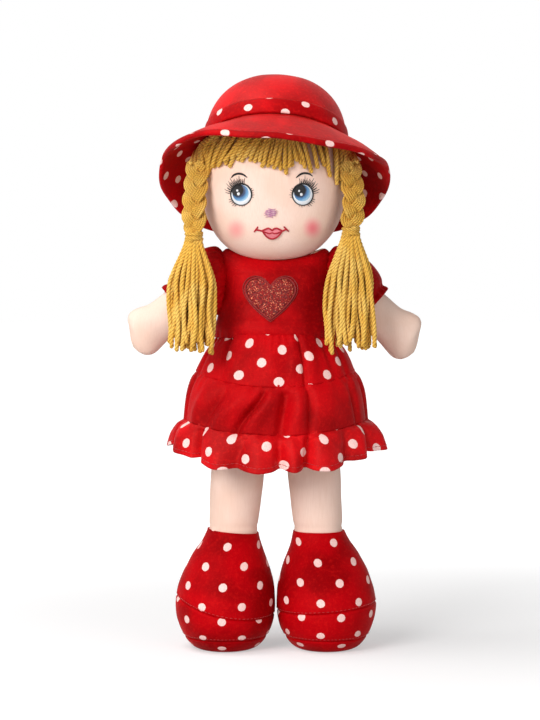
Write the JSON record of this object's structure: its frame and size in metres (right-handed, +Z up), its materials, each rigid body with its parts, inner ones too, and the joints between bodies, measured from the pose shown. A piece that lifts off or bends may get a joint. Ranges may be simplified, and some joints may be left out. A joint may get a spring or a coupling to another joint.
{
  "type": "rag doll",
  "caption": "Standing rag doll with plaited yarn hair, a brimmed hat, a tiered dress and stuffed boots; head, arms, legs and plaits move.",
  "frame": {"origin": "on the floor under the middle of the doll's box", "axes": "+Z up, the doll faces -Y, and its own left side is at +X"},
  "size_m": [0.2071, 0.1422, 0.4006],
  "materials": {
    "skin_cloth": "matte",
    "filling_fibre": "matte",
    "red_velour": "matte",
    "dotted_velour": "matte",
    "yarn": "matte",
    "white_thread": "satin",
    "blue_thread": "satin",
    "black_thread": "satin",
    "pink_thread": "satin",
    "wine_thread": "satin",
    "glitter_cloth": "satin"
  },
  "bodies": {
    "torso": {"torso_skin": "skin_cloth", "torso_filling": "filling_fibre", "bodice": "red_velour", "heart_patch": "glitter_cloth", "left_sleeve": "red_velour", "right_sleeve": "red_velour", "skirt_upper_tier": "dotted_velour", "skirt_middle_tier": "red_velour", "skirt_ruffle": "dotted_velour"},
    "neck": {"neck": "skin_cloth"},
    "head": {"head_skin": "skin_cloth", "head_filling": "filling_fibre", "left_eye_white": "white_thread", "left_iris": "blue_thread", "left_pupil": "black_thread", "left_brow": "black_thread", "right_eye_white": "white_thread", "right_iris": "blue_thread", "right_pupil": "black_thread", "right_brow": "black_thread", "nose": "pink_thread", "mouth": "wine_thread", "fringe": "yarn", "back_hair": "yarn", "hat_crown": "red_velour", "hat_band": "dotted_velour", "hat_brim": "red_velour", "hat_brim_lining": "dotted_velour"},
    "left_plait": {"left_braid": "yarn", "left_braid_tie": "yarn", "left_tassel": "yarn"},
    "left_arm": {"left_arm_skin": "skin_cloth", "left_arm_filling": "filling_fibre"},
    "left_leg": {"left_leg_skin": "skin_cloth", "left_boot_upper": "dotted_velour", "left_boot_toe_band": "dotted_velour", "left_boot_sole": "dotted_velour", "left_leg_filling": "filling_fibre"},
    "right_plait": {"right_braid": "yarn", "right_braid_tie": "yarn", "right_tassel": "yarn"},
    "right_arm": {"right_arm_skin": "skin_cloth", "right_arm_filling": "filling_fibre"},
    "right_leg": {"right_leg_skin": "skin_cloth", "right_boot_upper": "dotted_velour", "right_boot_toe_band": "dotted_velour", "right_boot_sole": "dotted_velour", "right_leg_filling": "filling_fibre"}
  },
  "joints": [
    {"name": "head_tilt", "type": "hinge", "parent": "torso", "child": "neck", "pos_m": [0, 0.0075, 0.279], "axis": [0, 1, 0], "range_deg": [-8, 8], "stiffness_Nm_per_rad": 0.6},
    {"name": "head_turn", "type": "hinge", "parent": "neck", "child": "head", "pos_m": [0, 0.0075, 0.279], "axis": [0, 0, 1], "range_deg": [-10, 10], "stiffness_Nm_per_rad": 0.3},
    {"name": "left_shoulder", "type": "hinge", "parent": "torso", "child": "left_arm", "pos_m": [0.0395, 0.0075, 0.257], "axis": [0, -1, 0], "range_deg": [-15, 50], "deforming": ["left_sleeve"]},
    {"name": "right_shoulder", "type": "hinge", "parent": "torso", "child": "right_arm", "pos_m": [-0.0395, 0.0075, 0.257], "axis": [0, 1, 0], "range_deg": [-15, 50], "deforming": ["right_sleeve"]},
    {"name": "left_hip", "type": "hinge", "parent": "torso", "child": "left_leg", "pos_m": [0.023, 0.0075, 0.176], "axis": [-1, 0, 0], "range_deg": [-25, 90], "deforming": ["skirt_upper_tier", "skirt_middle_tier", "skirt_ruffle"]},
    {"name": "right_hip", "type": "hinge", "parent": "torso", "child": "right_leg", "pos_m": [-0.023, 0.0075, 0.176], "axis": [-1, 0, 0], "range_deg": [-25, 90], "deforming": ["skirt_upper_tier", "skirt_middle_tier", "skirt_ruffle"]},
    {"name": "left_plait_swing", "type": "hinge", "parent": "head", "child": "left_plait", "pos_m": [0.0505, -0.0125, 0.3345], "axis": [0, -1, 0], "range_deg": [0, 30]},
    {"name": "right_plait_swing", "type": "hinge", "parent": "head", "child": "right_plait", "pos_m": [-0.0505, -0.0125, 0.3345], "axis": [0, 1, 0], "range_deg": [0, 30]}
  ]
}
